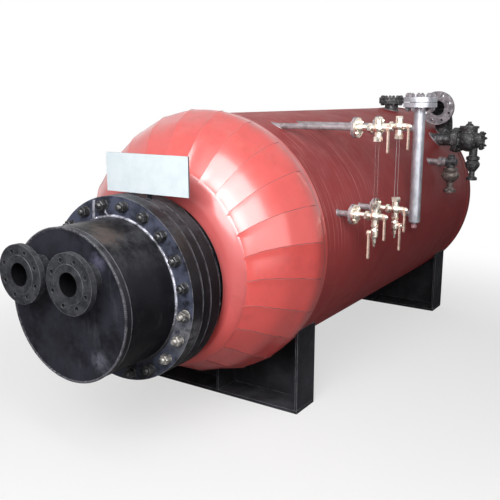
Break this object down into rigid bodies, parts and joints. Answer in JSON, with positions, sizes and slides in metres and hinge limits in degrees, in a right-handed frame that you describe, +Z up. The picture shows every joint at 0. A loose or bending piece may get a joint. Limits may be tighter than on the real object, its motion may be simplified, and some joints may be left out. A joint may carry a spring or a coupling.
{
  "type": "kettle-type steam boiler",
  "caption": "Horizontal clad steam boiler on saddles, with an eccentric rounded head, a bolted front channel with flanged nozzles, gauge glasses, a standpipe and side valves.",
  "frame": {"origin": "on the ground at the middle of the underside of the front saddle's base plate", "axes": "+Z up; +Y along the shell from the bolted channel to the rear head; +X towards the gauge glasses"},
  "size_m": [1.4186, 3.528, 1.512],
  "materials": {
    "red_cladding": "semi-gloss red paint, scratched and dusty",
    "black_paint": "satin black paint with dust",
    "gasket": "matt sheet gasket",
    "brass": "worn bright brass",
    "glass": "clear",
    "silver_paint": "aluminium paint",
    "grey_pipe": "grey primer, worn",
    "cast_iron": "rough casting, mottled paint",
    "white_board": "matt white paint"
  },
  "bodies": {
    "boiler": {"shell_barrel": "red_cladding", "front_head": "red_cladding", "rear_head": "red_cladding", "head_collar": "black_paint", "neck": "black_paint", "shell_flange": "black_paint", "gaskets": "gasket", "tube_sheet": "black_paint", "channel_flange": "black_paint", "channel_barrel": "black_paint", "channel_cover": "black_paint", "left_nozzle": "black_paint", "right_nozzle": "black_paint", "saddle_bases": "black_paint", "saddle_webs": "black_paint", "saddle_ribs": "black_paint", "upper_gauge_pipes": "grey_pipe", "lower_gauge_pipes": "grey_pipe", "steam_cocks": "brass", "water_cocks": "brass", "drain_cocks": "brass", "gauge_glasses": "glass", "standpipe_tube": "silver_paint", "standpipe_flange": "silver_paint", "standpipe_gasket": "gasket", "standpipe_cover": "silver_paint", "standpipe_branches": "grey_pipe", "outlet_elbow": "cast_iron", "outlet_flange": "cast_iron", "top_nozzle": "cast_iron", "top_cover": "cast_iron", "feed_pipe": "grey_pipe", "feed_tee": "cast_iron", "feed_valve": "cast_iron", "stop_pipe": "cast_iron", "stop_valve_body": "cast_iron", "stop_valve_bonnet": "cast_iron", "stop_valve_outlet": "cast_iron", "name_board": "white_board", "board_posts": "black_paint"},
    "front_steam_lever": {"front_steam_lever": "brass"},
    "rear_steam_lever": {"rear_steam_lever": "brass"},
    "front_water_lever": {"front_water_lever": "brass"},
    "rear_water_lever": {"rear_water_lever": "brass"},
    "front_drain_lever": {"front_drain_lever": "brass"},
    "rear_drain_lever": {"rear_drain_lever": "brass"}
  },
  "joints": [
    {"name": "front_steam_cock_turn", "type": "hinge", "parent": "boiler", "child": "front_steam_lever", "pos_m": [0.804, 0.061, 1.343], "axis": [-1, 0, 0], "range_deg": [0, 90]},
    {"name": "rear_steam_cock_turn", "type": "hinge", "parent": "boiler", "child": "rear_steam_lever", "pos_m": [0.804, 0.3, 1.343], "axis": [-1, 0, 0], "range_deg": [0, 90]},
    {"name": "front_water_cock_turn", "type": "hinge", "parent": "boiler", "child": "front_water_lever", "pos_m": [0.804, 0.061, 0.961], "axis": [-1, 0, 0], "range_deg": [0, 90]},
    {"name": "rear_water_cock_turn", "type": "hinge", "parent": "boiler", "child": "rear_water_lever", "pos_m": [0.804, 0.3, 0.961], "axis": [-1, 0, 0], "range_deg": [0, 90]},
    {"name": "front_drain_cock_turn", "type": "hinge", "parent": "boiler", "child": "front_drain_lever", "pos_m": [0.732, 0.061, 0.885], "axis": [-1, 0, 0], "range_deg": [0, 90]},
    {"name": "rear_drain_cock_turn", "type": "hinge", "parent": "boiler", "child": "rear_drain_lever", "pos_m": [0.784, 0.3, 0.885], "axis": [-1, 0, 0], "range_deg": [0, 90]}
  ]
}
